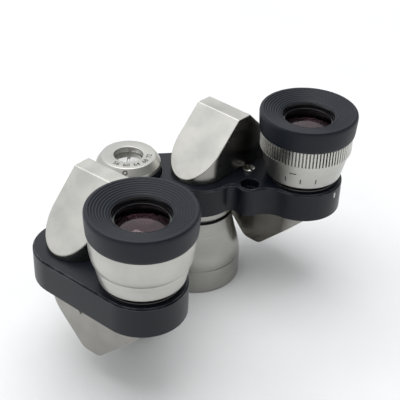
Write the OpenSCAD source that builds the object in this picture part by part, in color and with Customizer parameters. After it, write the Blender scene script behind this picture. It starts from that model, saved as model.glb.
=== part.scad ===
// Miniature reverse-layout Porro-prism binoculars, standing on their objective rims.
// Origin: on the standing surface, at the middle of the outer box.
// +X runs from the left half to the right half, +Y towards the hinge, +Z towards the eyepieces.
// Each half is drawn in its own frame, with the hinge axis at the plan origin and the half
// lying towards +X and -Y. The left half is the mirror image of the right half.

/* [Overall] */
// Length from the objective rims to the eyecup rims
total_h = 48; // [47.5:0.1:49]
// Angle each half is folded inwards from the square position, in degrees
fold_rest = 1.93; // [1:0.05:2]

/* [Optical layout] */
// Hinge axis to objective axis, sideways
obj_x = 12.2; // [12.1:0.05:12.6]
// Hinge axis to objective axis, towards the eyepieces
obj_y = 12.1; // [11.9:0.05:12.4]
// Spacing of the two light paths through the top prism
top_run = 17.5; // [17.3:0.1:18]
// Spacing of the two light paths through the lower prism
lower_run = 19.2; // [19:0.1:19.6]
// Radius of the light tunnels through the body plates
tunnel_r = 6; // [5.5:0.1:6.2]

/* [Body plates] */
// Height of the underside of the plates
plate_z = 22.25; // [22:0.05:22.5]
// Thickness of the plates
plate_t = 7.5; // [7.3:0.05:7.6]
// Radius of the plate round the objective axis
plate_obj_r = 9.6; // [9.4:0.1:10]
// Radius of the plate round the prism corner and the eyepiece axis
plate_eye_r = 9.8; // [9.5:0.1:10]
// Size of the step along the plate's top edge
plate_edge = 0.35; // [0.2:0.05:0.5]
// Centre of the small boss beside the eyepiece, in the half's own frame
boss_pos = [16.9, -25];
// Radius of the small boss
boss_r = 3.1; // [3:0.1:3.3]
// Radius of the round recess in the boss
recess_r = 2.4; // [2.2:0.1:2.5]

/* [Prism housings] */
// Radius of the housings' rounded ends
shell_r = 6.8; // [6.7:0.05:6.9]
// Thickness of the housing walls
shell_t = 0.7; // [0.6:0.05:0.75]
// Half width of the flat strip along the top housing's ridge
ridge_w = 2.1; // [1.9:0.1:2.3]
// Half width of the flat strip along the lower housing's ridge
lower_ridge_w = 2.4; // [2.2:0.1:2.6]
// Radius of the rounding along the lower housing's ridge
lower_soft = 3; // [2.5:0.1:3.2]
// Height of the top housing above its plate
top_rise = 14.4; // [14.2:0.1:14.6]
// Depth of the lower housing below its plate
lower_drop = 13.9; // [13.7:0.1:14.1]

/* [Objective] */
// Radius of the rim band at the front of the barrel
rim_r = 11.5; // [11.3:0.05:11.5]
// Height of the rim band
rim_h = 6.7; // [6:0.1:7]
// Radius of the barrel's neck
neck_r = 9; // [8.95:0.05:9.1]
// Height of the top of the barrel at rest
barrel_top = 19.4; // [19.2:0.1:19.5]
// Outer radius of the fixed sleeve that the barrel slides on
sleeve_r = 8.4; // [8.3:0.05:8.4]

/* [Eyepiece] */
// Outer radius of the eyecup
cup_r = 11.8; // [11.6:0.1:11.9]
// Height of the eyecup
cup_h = 5.7; // [5.5:0.1:5.9]
// Radius of the eyecup's viewing bore
cup_bore_r = 6.34; // [6.3:0.02:6.4]
// Radius of the knurled dioptre ring over its ribs
ring_r = 11.2; // [11:0.1:11.3]
// Number of ribs on the dioptre ring
rib_n = 86; // [72:2:96]
// Radius of the skirt at its foot
skirt_r = 9.3; // [9.2:0.1:9.5]

/* [Hinge and focus] */
// Radius of the hinge lugs and of the cap's foot
lug_r = 8; // [7.8:0.1:8]
// Radius of the flat top of the hinge cap
cap_r = 6.7; // [6.5:0.1:6.9]
// Radius of the hinge axle
axle_r = 1.9; // [1.8:0.05:2]
// Radius of the focus wheel over its ribs
wheel_r = 7.2; // [6.8:0.1:7.2]
// Number of ribs on the focus wheel
wheel_ribs = 48; // [40:2:56]

/* [Hidden] */
$fn = 96;

// Which half a module draws.
LEFT = -1;
RIGHT = 1;

// Radial clearances: a turning or sliding fit, and parts that are fixed together.
run = 0.05;
seat = 0.02;
// Overlap that carries a cut past the face that it opens.
over = 1;

obj = [obj_x, -obj_y];
corner = [obj_x + top_run, -obj_y];
eye = [obj_x + top_run, -obj_y - lower_run];
plate_top = plate_z + plate_t;

// The hinge sits where the lugs behind it and the eyecups in front of it fill the box evenly.
eye_front = eye.x * sin(fold_rest) - eye.y * cos(fold_rest) + cup_r;
hinge_y = (eye_front - lug_r) / 2;

// Plates
halves_gap = 0.5;
knuckle_gap = 0.1;
knuckle_z = plate_z + 3.8;
lug_boss_h = 1.9;
lug_clear = 0.3;
neck_fillet = 2;
notch_fillet = 6.5;
far = 70;
recess_depth = 2.2;
adjuster_r = 1.3;
adjuster_depth = 4.5;

// Screws beside the top housing
screw_pos = [21.6, -20.6];
screw_r = 1.6;
screw_shank_r = 0.7;
screw_head_h = 0.7;
screw_len = 4;
slot_w = 0.35;
slot_d = 0.3;

// Prisms and their clips, sized inside the housings
prism_r = shell_r - shell_t - 0.5;
prism_inset = shell_t + 0.2;
prism_gap = 0.4;
clip_t = 0.3;
clip_w = 2.4;
lower_sep = lower_run - 1;
lower_shift = 0.35;

// Objective
sleeve_bore_r = 7.75;
sleeve_foot = 9.5;
sleeve_seat = 2.45;
collar_h = 1.7;
barrel_bore_r = sleeve_r + run;
bell_r = rim_r - 0.15;
bell_steps = 16;
bell_skew = 0.85;
rim_chamfer = 0.3;
shoulder_z = [7.2, 8];
clear_r = 7.5;
obj_lens_r = 8.25;
obj_seat_r = obj_lens_r + seat;
obj_lens_rise = 0.85;
retainer_z = [2.6, 3.4];
hood_r = 10.5;
hood_z = 2.4;

// Eyepiece
tube_r = 7.6;
tube_bore_r = 6.9;
tube_z = plate_top - 2.2;
tube_top = 38.8;
flange_r = 8.7;
flange_h = 0.7;
cell_r = tube_bore_r - run;
cell_bore_r = 6.25;
cell_z = [30.2, 45.3];
cell_flange_r = 7.4;
cell_flange_z = [39.6, 40.6];
skirt_z = 30.95;
skirt_chamfer = 0.35;
cup_z = total_h - cup_h - 0.1;
cup_edge = 0.5;
cup_foot_cut = 0.6;
dish_r = 10.7;
dish_depth = 1.25;
groove_n = 5;
groove_depth = 0.18;
cup_seat_z = 45.6;
right_ring_z = 38;
left_ring_z = 35.5;
ring_step = 0.35;
rib_depth = 0.28;
eye_lens_z = [41, 44.25];
eye_lens_rise = [0.5, 0.9];
eye_lens_r = cell_bore_r - seat;
field_lens_z = [32, 34.4];
field_lens_rise = 0.6;
field_bore_r = 5.4;
stop_z = [36, 36.4];
stop_r = 4.6;
eye_retainer_z = [44.3, 45.2];
eye_retainer_r = 5.6;

// Hinge and focus stack, from the bottom up
cap_foot_z = plate_top + lug_boss_h + 0.1;
cap_h = 2.7;
cap_recess_r = 3.55;
cap_recess_z = cap_foot_z + 0.6;
axle_z = [5.3, cap_recess_z];
tap_r = 1;
washer_z = 4.6;
washer_r = 3.2;
bolt_head_z = 3.8;
bolt_head_r = 2.2;
wheel_z = [14.6, 20.6];
wheel_neck_r = 3.4;
wheel_neck_z = 5.45;
wheel_rib_depth = 0.5;
spacer_r = 4.5;
carrier_r = 4.4;
carrier_z = [7.6, 12.6];
arm_r = 5.4;
arm_w = 5;
arm_t = 2;
right_arm_z = carrier_z[0] + arm_t + 0.15;
clip_z = right_arm_z + arm_t + 0.1;

silver = "#c9c8c1";
bright = "#dcdcda";
black = "#2d2e32";
brass = "#b59a5a";
clear = [0.75, 0.85, 0.95, 0.5];

// ---------- helpers ----------

// Puts a half-frame drawing on its side of the hinge, at the rest fold.
module half(side) {
    translate([0, hinge_y, 0])
        mirror([side == LEFT ? 1 : 0, 0, 0])
            rotate([0, 0, -fold_rest])
                children();
}

module at_hinge() {
    translate([0, hinge_y, 0]) children();
}

module at(point) {
    translate([point.x, point.y, 0]) children();
}

// A tube between two heights.
module tube(r_out, r_in, z0, z1) {
    translate([0, 0, z0])
        difference() {
            cylinder(r = r_out, h = z1 - z0);
            translate([0, 0, -over]) cylinder(r = r_in, h = z1 - z0 + 2 * over);
        }
}

// A cylindrical hole between two heights.
module hole(r, z0, z1) {
    translate([0, 0, z0]) cylinder(r = r, h = z1 - z0);
}

// A closed round section from [radius, height] points.
module lathe(points) {
    rotate_extrude() polygon(points);
}

// A disc whose edge carries trapezoidal ribs.
module ribbed(r, depth, ribs, h) {
    pitch = 360 / ribs;
    linear_extrude(h)
        polygon([
            for (i = [0 : ribs - 1], k = [0 : 3])
                let (rad = k < 2 ? r : r - depth, turn = (i + [0, 0.36, 0.55, 0.81][k]) * pitch)
                    rad * [cos(turn), sin(turn)]
        ]);
}

// Two discs joined by their outer tangent lines.
module web(c1, r1, c2, r2) {
    run_dir = (c2 - c1) / norm(c2 - c1);
    side_dir = [-run_dir.y, run_dir.x];
    lean = (r1 - r2) / norm(c2 - c1);
    n1 = lean * run_dir + sqrt(1 - lean * lean) * side_dir;
    n2 = lean * run_dir - sqrt(1 - lean * lean) * side_dir;
    at(c1) circle(r1);
    at(c2) circle(r2);
    polygon([c1 + r1 * n1, c2 + r2 * n1, c2 + r2 * n2, c1 + r1 * n2]);
}

// The hollow blend between two discs: turn is 1 or -1 for the side that it lies on.
module blend(c1, r1, c2, r2, r, turn) {
    gap = norm(c2 - c1);
    along = (c2 - c1) / gap;
    across = turn * [-along.y, along.x];
    d1 = r1 + r;
    d2 = r2 + r;
    s = (gap * gap + d1 * d1 - d2 * d2) / (2 * gap);
    centre = c1 + s * along + sqrt(d1 * d1 - s * s) * across;
    difference() {
        polygon([c1, centre, c2]);
        at(centre) circle(r);
    }
}

// The outline across a roof block: two 45-degree faces that meet in a flat ridge strip, whose
// edges are rounded by soft.
module roof_outline(h, strip, soft) {
    cut = soft * tan(22.5);
    drop = cut * sin(45);
    if (soft > 0) {
        polygon([
            [-strip - h, 0], [strip + h, 0], [strip + drop, h - drop], [strip - cut, h],
            [cut - strip, h], [-strip - drop, h - drop],
        ]);
        at([strip - cut, h - soft]) circle(soft);
        at([cut - strip, h - soft]) circle(soft);
    } else {
        polygon([[-strip - h, 0], [strip + h, 0], [strip, h], [-strip, h]]);
    }
}

// A block with rounded ends under such an outline.
// It stands on z = 0, centred, with its long side along X.
module roof_block(sep, r, h, strip, soft) {
    intersection() {
        linear_extrude(h) {
            translate([-sep / 2, 0]) circle(r);
            translate([sep / 2, 0]) circle(r);
            translate([-sep / 2, -r]) square([sep, 2 * r]);
        }
        rotate([90, 0, 0])
            translate([0, 0, -r - over])
                linear_extrude(2 * (r + over))
                    roof_outline(h, strip, soft);
    }
}

// The housing over one prism.
module roof_shell(sep, h, strip, soft) {
    inner_strip = strip - (sqrt(2) - 1) * shell_t;
    inner_soft = max(0, soft - shell_t);
    difference() {
        roof_block(sep, shell_r, h, strip, soft);
        translate([0, 0, -0.001])
            roof_block(sep, shell_r - shell_t, h - shell_t, inner_strip, inner_soft);
    }
}

// The prism inside a housing, with the ridge ground flat under the clip.
module roof_prism(sep, h, ridge) {
    prism_h = h - shell_t - prism_gap;
    strip = h + ridge - prism_inset * sqrt(2) - prism_h;
    roof_block(sep, prism_r, prism_h, strip, 0);
}

// The spring strap that holds a prism down.
module prism_strap(h) {
    prism_h = h - shell_t - prism_gap;
    side = prism_r + clip_t;
    difference() {
        translate([-clip_w / 2, -side, 0]) cube([clip_w, 2 * side, prism_h + clip_t]);
        translate([-clip_w, -prism_r, -over]) cube([2 * clip_w, 2 * prism_r, prism_h + over]);
    }
}

module on_top_prism() {
    translate([(obj.x + corner.x) / 2, obj.y, plate_top]) children();
}

module on_lower_prism() {
    translate([eye.x, (corner.y + eye.y) / 2 - lower_shift, plate_z])
        mirror([0, 0, 1])
            rotate([0, 0, 90])
                children();
}

// A slotted cheese-head screw with its head's underside at z = 0.
module slotted_screw(head_r, head_h, shank_r, shank_len) {
    difference() {
        cylinder(r = head_r, h = head_h);
        translate([-head_r - over, -slot_w / 2, head_h - slot_d]) cube([2 * (head_r + over), slot_w, over]);
    }
    translate([0, 0, -shank_len]) cylinder(r = shank_r, h = shank_len);
}

// The ball that a lens face of radius r and the given rise is part of; top is the face's crown.
module lens_ball(r, rise, top, up) {
    ball = (r * r + rise * rise) / (2 * rise);
    translate([0, 0, top - up * ball]) sphere(ball);
}

// A lens whose lower face bulges by rise0 below z0 and whose upper face bulges by rise1 above z1.
// A rise of 0 is a flat face.
module lens(r, z0, z1, rise0, rise1) {
    intersection() {
        hole(r, rise0 > 0 ? z0 - rise0 - over : z0, rise1 > 0 ? z1 + rise1 + over : z1);
        if (rise0 > 0) lens_ball(r, rise0, z0 - rise0, -1);
        if (rise1 > 0) lens_ball(r, rise1, z1 + rise1, 1);
    }
}

// ---------- body plates ----------

// Plan of one plate without its hinge lug, drawn in by inset.
module plate_plan(inset) {
    intersection() {
        union() {
            web([0, 0], lug_r - inset, obj, plate_obj_r - inset);
            web(obj, plate_obj_r - inset, corner, plate_eye_r - inset);
            web(corner, plate_eye_r - inset, eye, plate_eye_r - inset);
            at(boss_pos) circle(boss_r - inset);
            polygon([obj, corner, eye, boss_pos]);
            blend(obj, plate_obj_r - inset, boss_pos, boss_r - inset, neck_fillet, -1);
            blend(boss_pos, boss_r - inset, eye, plate_eye_r - inset, notch_fillet, -1);
        }
        rotate([0, 0, fold_rest]) translate([halves_gap / 2 + inset, -far]) square([far, 2 * far]);
    }
}

// The left plate carries the upper hinge lug, the right plate the lower one.
module body_plate(side) {
    upper = side == LEFT;
    lug_z = upper ? [knuckle_z + knuckle_gap / 2, plate_top + lug_boss_h]
                  : [plate_z, knuckle_z - knuckle_gap / 2];
    free_z = upper ? [plate_z - over, lug_z[0]] : [lug_z[1], plate_top + over];
    difference() {
        union() {
            difference() {
                union() {
                    translate([0, 0, plate_z]) linear_extrude(plate_t - plate_edge) plate_plan(0);
                    translate([0, 0, plate_top - plate_edge])
                        linear_extrude(plate_edge) plate_plan(plate_edge);
                }
                hole(lug_r + lug_clear, free_z[0], free_z[1]);
            }
            hole(lug_r, lug_z[0], lug_z[1]);
        }
        hole(upper ? axle_r + seat : axle_r + run, plate_z - over, plate_top + far);
        at(obj) hole(tunnel_r + 0.6, plate_z - over, plate_top + over);
        at(obj) hole(sleeve_r + seat, plate_z - over, plate_z + sleeve_seat + seat);
        at(corner) hole(tunnel_r - 0.2, plate_z - over, plate_top + over);
        at(eye) hole(tunnel_r - 0.2, plate_z - over, plate_top + over);
        at(eye) hole(tube_r + seat, tube_z - seat, plate_top + over);
        at(boss_pos) hole(recess_r, plate_top - recess_depth, plate_top + over);
        at(boss_pos) hole(adjuster_r + seat, plate_top - adjuster_depth, plate_top + over);
        at(screw_pos) hole(screw_shank_r + seat, plate_top - screw_len - over, plate_top + over);
    }
}

module left_body_plate() {
    color(black) half(LEFT) body_plate(LEFT);
}

module right_body_plate() {
    color(black) half(RIGHT) body_plate(RIGHT);
}

// The screw beside the top housing and the adjusting plug in the boss's recess.
module plate_screws() {
    at(screw_pos)
        translate([0, 0, plate_top])
            rotate([0, 0, 35])
                slotted_screw(screw_r, screw_head_h, screw_shank_r, screw_len);
    at(boss_pos)
        translate([0, 0, plate_top - adjuster_depth])
            difference() {
                cylinder(r = adjuster_r, h = adjuster_depth - recess_depth + 0.6);
                translate([-2 * adjuster_r, -slot_w / 2, adjuster_depth - recess_depth + 0.6 - slot_d])
                    cube([4 * adjuster_r, slot_w, over]);
            }
}

module left_plate_screws() {
    color(bright) half(LEFT) plate_screws();
}

module right_plate_screws() {
    color(bright) half(RIGHT) plate_screws();
}

// ---------- prism housings, prisms and clips ----------

module left_top_prism_housing() {
    color(silver) half(LEFT) on_top_prism() roof_shell(top_run, top_rise, ridge_w, 0);
}

module right_top_prism_housing() {
    color(silver) half(RIGHT) on_top_prism() roof_shell(top_run, top_rise, ridge_w, 0);
}

module left_lower_prism_housing() {
    color(silver) half(LEFT) on_lower_prism() roof_shell(lower_sep, lower_drop, lower_ridge_w, lower_soft);
}

module right_lower_prism_housing() {
    color(silver) half(RIGHT) on_lower_prism() roof_shell(lower_sep, lower_drop, lower_ridge_w, lower_soft);
}

module left_top_prism() {
    color(clear) half(LEFT) on_top_prism() roof_prism(top_run, top_rise, ridge_w);
}

module right_top_prism() {
    color(clear) half(RIGHT) on_top_prism() roof_prism(top_run, top_rise, ridge_w);
}

module left_lower_prism() {
    color(clear) half(LEFT) on_lower_prism() roof_prism(lower_sep, lower_drop, lower_ridge_w);
}

module right_lower_prism() {
    color(clear) half(RIGHT) on_lower_prism() roof_prism(lower_sep, lower_drop, lower_ridge_w);
}

module left_top_prism_clip() {
    color(brass) half(LEFT) on_top_prism() prism_strap(top_rise);
}

module right_top_prism_clip() {
    color(brass) half(RIGHT) on_top_prism() prism_strap(top_rise);
}

module left_lower_prism_clip() {
    color(brass) half(LEFT) on_lower_prism() prism_strap(lower_drop);
}

module right_lower_prism_clip() {
    color(brass) half(RIGHT) on_lower_prism() prism_strap(lower_drop);
}

// ---------- objectives ----------

// Radius of the barrel at height z: a bell that eases from the rim band into the neck.
function barrel_radius(z) =
    let (t = (z - rim_h - 0.4) / (barrel_top - rim_h - 0.4))
        neck_r + (bell_r - neck_r) * (1 + cos(180 * pow(t, bell_skew))) / 2;

// Outer profile of the barrel from the rim up to the neck.
barrel_profile = concat(
    [[rim_r - rim_chamfer, 0], [rim_r, rim_chamfer], [rim_r, rim_h - 0.1], [bell_r, rim_h]],
    [for (i = [0 : bell_steps])
        let (z = rim_h + 0.4 + (barrel_top - rim_h - 0.4) * i / bell_steps) [barrel_radius(z), z]]
);

module barrel_envelope() {
    lathe(concat([[0, 0]], barrel_profile, [[0, barrel_top]]));
}

module objective_barrel() {
    at(obj)
        difference() {
            barrel_envelope();
            hole(barrel_bore_r, shoulder_z[1], barrel_top + over);
            hole(clear_r, 0, far);
            hole(obj_seat_r, -over, shoulder_z[0]);
            translate([0, 0, -0.01]) cylinder(r1 = hood_r, r2 = obj_seat_r, h = hood_z);
        }
}

module objective_sleeve() {
    at(obj) tube(sleeve_r, sleeve_bore_r, sleeve_foot, plate_z + sleeve_seat);
}

module objective_collar() {
    at(obj) tube(neck_r + 0.1, sleeve_r + seat, plate_z - collar_h, plate_z);
}

module objective_lens() {
    at(obj) lens(obj_lens_r, retainer_z[1] + obj_lens_rise, shoulder_z[0], obj_lens_rise, 0);
}

module objective_retainer() {
    at(obj)
        difference() {
            tube(obj_lens_r, clear_r, retainer_z[0], retainer_z[1]);
            for (turn = [0, 180])
                rotate([0, 0, turn])
                    translate([clear_r - over, -0.4, retainer_z[0] - over]) cube([3, 0.8, over + 0.4]);
        }
}

module left_objective_barrel() {
    color(silver) half(LEFT) objective_barrel();
}

module right_objective_barrel() {
    color(silver) half(RIGHT) objective_barrel();
}

module left_objective_sleeve() {
    color(black) half(LEFT) objective_sleeve();
}

module right_objective_sleeve() {
    color(black) half(RIGHT) objective_sleeve();
}

module left_objective_collar() {
    color(silver) half(LEFT) objective_collar();
}

module right_objective_collar() {
    color(silver) half(RIGHT) objective_collar();
}

module left_objective_lens() {
    color(clear) half(LEFT) objective_lens();
}

module right_objective_lens() {
    color(clear) half(RIGHT) objective_lens();
}

module left_objective_retainer() {
    color(black) half(LEFT) objective_retainer();
}

module right_objective_retainer() {
    color(black) half(RIGHT) objective_retainer();
}

// ---------- eyepieces ----------

module eyepiece_tube() {
    at(eye)
        difference() {
            union() {
                hole(tube_r, tube_z, tube_top);
                hole(flange_r, plate_top, plate_top + flange_h);
            }
            hole(tube_bore_r, tube_z - over, tube_top + over);
        }
}

module lens_cell() {
    at(eye)
        difference() {
            union() {
                hole(cell_r, cell_z[0], cell_z[1]);
                hole(cell_flange_r, cell_flange_z[0], cell_flange_z[1]);
            }
            hole(field_bore_r, cell_z[0] - over, far);
            hole(cell_bore_r, field_lens_z[0], far);
        }
}

module field_lens() {
    at(eye) lens(eye_lens_r, field_lens_z[0], field_lens_z[1] - field_lens_rise, 0, field_lens_rise);
}

module field_stop() {
    at(eye) tube(eye_lens_r, stop_r, stop_z[0], stop_z[1]);
}

module eye_lens() {
    at(eye) lens(eye_lens_r, eye_lens_z[0] + eye_lens_rise[0], eye_lens_z[1] - eye_lens_rise[1],
                 eye_lens_rise[0], eye_lens_rise[1]);
}

module eye_lens_retainer() {
    at(eye) tube(eye_lens_r, eye_retainer_r, eye_retainer_z[0], eye_retainer_z[1]);
}

// The tapered skirt from the ring down to the plate.
module eyepiece_skirt(top_z, top_r) {
    at(eye)
        difference() {
            lathe([[0, skirt_z], [skirt_r - skirt_chamfer, skirt_z], [skirt_r, skirt_z + skirt_chamfer],
                   [top_r, top_z], [0, top_z]]);
            hole(tube_r + run, skirt_z - over, top_z + over);
        }
}

// What every eyepiece ring is bored out for: the tube, the cell's flange and the cell.
module ring_bores(bottom_z) {
    hole(tube_r + run, bottom_z - over, cell_flange_z[1] + 0.1);
    hole(cell_r + run, bottom_z - over, far);
}

module dioptre_ring() {
    at(eye)
        difference() {
            intersection() {
                translate([0, 0, right_ring_z]) ribbed(ring_r, rib_depth, rib_n, cup_z - right_ring_z);
                lathe([[0, right_ring_z], [ring_r - ring_step, right_ring_z],
                       [ring_r, right_ring_z + ring_step], [ring_r, cup_z], [0, cup_z]]);
            }
            ring_bores(right_ring_z);
        }
}

module plain_ring() {
    at(eye)
        difference() {
            lathe([[0, left_ring_z], [ring_r - 0.8, left_ring_z], [ring_r - 0.7, left_ring_z + 0.2],
                   [ring_r - 0.15, cup_z - 2.6], [ring_r, cup_z], [0, cup_z]]);
            ring_bores(left_ring_z);
        }
}

// The eyecup's dished face, with concentric grooves, from the rim in to the bore.
dish_points = [
    for (i = [0 : groove_n - 1], k = [0 : 3])
        let (
            t = (i + [0.2, 0.35, 0.65, 0.8][k]) / groove_n,
            depth = (k == 1 || k == 2) ? groove_depth : 0
        )
            [dish_r + (cup_bore_r + 0.4 - dish_r) * t, total_h - dish_depth * t - depth]
];

module eyecup() {
    at(eye)
        difference() {
            lathe(concat(
                [[0, cup_z], [cup_r - cup_foot_cut, cup_z], [cup_r, cup_z + cup_edge],
                 [cup_r, total_h - cup_edge], [cup_r - 0.4, total_h], [dish_r, total_h]],
                dish_points,
                [[cup_bore_r + 0.2, total_h - dish_depth], [0, total_h - dish_depth]]
            ));
            hole(cup_bore_r, cup_z - over, far);
            hole(cell_r + run, cup_z - over, cup_seat_z);
        }
}

module left_eyepiece_tube() {
    color(black) half(LEFT) eyepiece_tube();
}

module right_eyepiece_tube() {
    color(black) half(RIGHT) eyepiece_tube();
}

module left_lens_cell() {
    color(black) half(LEFT) lens_cell();
}

module right_lens_cell() {
    color(black) half(RIGHT) lens_cell();
}

module left_field_lens() {
    color(clear) half(LEFT) field_lens();
}

module right_field_lens() {
    color(clear) half(RIGHT) field_lens();
}

module left_field_stop() {
    color(black) half(LEFT) field_stop();
}

module right_field_stop() {
    color(black) half(RIGHT) field_stop();
}

module left_eye_lens() {
    color(clear) half(LEFT) eye_lens();
}

module right_eye_lens() {
    color(clear) half(RIGHT) eye_lens();
}

module left_eye_lens_retainer() {
    color(black) half(LEFT) eye_lens_retainer();
}

module right_eye_lens_retainer() {
    color(black) half(RIGHT) eye_lens_retainer();
}

module left_eyepiece_skirt() {
    color(silver) half(LEFT) eyepiece_skirt(left_ring_z, ring_r - 1.15);
}

module right_eyepiece_skirt() {
    color(silver) half(RIGHT) eyepiece_skirt(right_ring_z, ring_r - 0.45);
}

module left_eyepiece_ring() {
    color(silver) half(LEFT) plain_ring();
}

module right_dioptre_ring() {
    color(silver) half(RIGHT) dioptre_ring();
}

module left_eyecup() {
    color(black) half(LEFT) eyecup();
}

module right_eyecup() {
    color(black) half(RIGHT) eyecup();
}

// ---------- hinge ----------

module hinge_axle() {
    color(bright)
        at_hinge()
            difference() {
                hole(axle_r, axle_z[0], axle_z[1]);
                hole(tap_r, axle_z[0] - over, axle_z[0] + 5);
                hole(tap_r, axle_z[1] - 5, axle_z[1] + over);
            }
}

module hinge_cap() {
    color(silver)
        at_hinge()
            difference() {
                lathe([[0, cap_foot_z - 0.1], [lug_r - 0.15, cap_foot_z - 0.1], [lug_r, cap_foot_z + 0.1],
                       [cap_r + 0.12, cap_foot_z + cap_h - 0.12], [cap_r, cap_foot_z + cap_h],
                       [0, cap_foot_z + cap_h]]);
                hole(axle_r + seat, cap_foot_z - over, far);
                hole(cap_recess_r, cap_recess_z, far);
            }
}

module hinge_cap_screw() {
    color(bright)
        at_hinge()
            translate([0, 0, cap_recess_z])
                rotate([0, 0, 60])
                    slotted_screw(cap_recess_r - 0.1, 0.7, tap_r - seat, 4.6);
}

module hinge_spacer() {
    color(black) at_hinge() tube(spacer_r, axle_r + seat, wheel_z[1] + 0.1, plate_z - run);
}

// ---------- focusing ----------

// The finger wheel with the long threaded neck that drives the carrier.
module focus_wheel() {
    color(black)
        at_hinge()
            difference() {
                union() {
                    translate([0, 0, wheel_z[0]])
                        ribbed(wheel_r, wheel_rib_depth, wheel_ribs, wheel_z[1] - wheel_z[0]);
                    hole(wheel_neck_r, wheel_neck_z, wheel_z[0] + over);
                }
                hole(axle_r + run, 0, far);
            }
}

module focus_carrier() {
    color(brass) at_hinge() tube(carrier_r, wheel_neck_r + run, carrier_z[0], carrier_z[1]);
}

module focus_carrier_clip() {
    color(bright) at_hinge() tube(carrier_r + 0.6, carrier_r + seat, clip_z, clip_z + 0.5);
}

// An arm from the carrier to the flank of one barrel.
module focus_arm(z, bore) {
    translate([0, 0, z])
        linear_extrude(arm_t)
            difference() {
                union() {
                    circle(arm_r);
                    rotate([0, 0, atan2(obj.y, obj.x)])
                        translate([0, -arm_w / 2]) square([norm(obj) / 2, arm_w]);
                }
                circle(bore);
                at(obj) circle(barrel_radius(z));
            }
}

module left_focus_arm() {
    color(black) half(LEFT) focus_arm(carrier_z[0], carrier_r + seat);
}

module right_focus_arm() {
    color(black) half(RIGHT) focus_arm(right_arm_z, carrier_r + run);
}

module focus_retaining_washer() {
    color(bright) at_hinge() tube(washer_r, tap_r, washer_z, axle_z[0]);
}

module focus_retaining_screw() {
    color(bright)
        at_hinge()
            translate([0, 0, washer_z])
                mirror([0, 0, 1])
                    slotted_screw(bolt_head_r, washer_z - bolt_head_z, tap_r - seat, 4.5);
}

// ---------- one line per node ----------

hinge_axle();
hinge_cap();
hinge_cap_screw();
hinge_spacer();
focus_wheel();
focus_carrier();
focus_carrier_clip();
focus_retaining_washer();
focus_retaining_screw();
left_body_plate();
right_body_plate();
left_top_prism_housing();
right_top_prism_housing();
left_lower_prism_housing();
right_lower_prism_housing();
left_top_prism();
right_top_prism();
left_lower_prism();
right_lower_prism();
left_top_prism_clip();
right_top_prism_clip();
left_lower_prism_clip();
right_lower_prism_clip();
left_objective_sleeve();
right_objective_sleeve();
left_objective_collar();
right_objective_collar();
left_objective_barrel();
right_objective_barrel();
left_objective_lens();
right_objective_lens();
left_objective_retainer();
right_objective_retainer();
left_focus_arm();
right_focus_arm();
left_eyepiece_tube();
right_eyepiece_tube();
left_lens_cell();
right_lens_cell();
left_field_lens();
right_field_lens();
left_field_stop();
right_field_stop();
left_eye_lens();
right_eye_lens();
left_eye_lens_retainer();
right_eye_lens_retainer();
left_eyepiece_skirt();
right_eyepiece_skirt();
left_eyepiece_ring();
right_dioptre_ring();
left_eyecup();
right_eyecup();
left_plate_screws();
right_plate_screws();
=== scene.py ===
import math

import bmesh
import bpy
from mathutils import Matrix, Vector


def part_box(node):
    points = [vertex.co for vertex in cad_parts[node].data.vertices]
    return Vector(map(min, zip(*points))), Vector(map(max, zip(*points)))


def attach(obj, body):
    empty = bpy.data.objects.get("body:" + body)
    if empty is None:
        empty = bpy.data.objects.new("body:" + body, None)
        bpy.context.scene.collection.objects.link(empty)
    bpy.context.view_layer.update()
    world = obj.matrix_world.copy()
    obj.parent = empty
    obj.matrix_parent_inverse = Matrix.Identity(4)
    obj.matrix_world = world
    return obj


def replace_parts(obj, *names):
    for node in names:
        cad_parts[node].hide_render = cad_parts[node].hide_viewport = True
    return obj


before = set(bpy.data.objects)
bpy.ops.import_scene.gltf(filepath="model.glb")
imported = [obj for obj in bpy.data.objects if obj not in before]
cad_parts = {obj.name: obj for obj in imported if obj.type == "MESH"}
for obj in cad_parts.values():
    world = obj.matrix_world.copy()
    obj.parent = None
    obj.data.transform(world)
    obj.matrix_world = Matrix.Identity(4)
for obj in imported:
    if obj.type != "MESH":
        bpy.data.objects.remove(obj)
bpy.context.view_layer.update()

# Sizes are in millimetres until they become vertices, lamps or a camera.
MM = 0.001
SIDES = ("left", "right")
RING_STEPS = 192
SHARP_ANGLE = math.radians(38)

# ---------- places taken from the frame ----------


def axis_of(node):
    """Plan centre of a round CAD node."""
    lo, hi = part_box(node)
    return Vector(((lo.x + hi.x) / 2, (lo.y + hi.y) / 2)) / MM


def heights(node):
    lo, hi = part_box(node)
    return lo.z / MM, hi.z / MM


def radius_of(node):
    lo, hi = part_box(node)
    return (hi.x - lo.x) / 2 / MM


EYE = {side: axis_of(f"{side}_eyecup") for side in SIDES}
OBJECTIVE = {side: axis_of(f"{side}_objective_collar") for side in SIDES}
HINGE = axis_of("hinge_axle")
REST_FOLD = math.radians(1.93)
SIDE_SIGN = {"left": -1, "right": 1}
HALF_BODY = {"left": "left_half", "right": "right_half"}
EYEPIECE_BODY = {"left": "left_half", "right": "dioptre_ring"}
FOCUS_BODY = {"left": "left_objective", "right": "right_objective"}


def half_point(side, across, along):
    """Plan position of a point given in one half's own frame, measured from the hinge."""
    x = across * math.cos(REST_FOLD) + along * math.sin(REST_FOLD)
    y = along * math.cos(REST_FOLD) - across * math.sin(REST_FOLD)
    return Vector((SIDE_SIGN[side] * x, y + HINGE.y))


# ---------- shader building ----------


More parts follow.
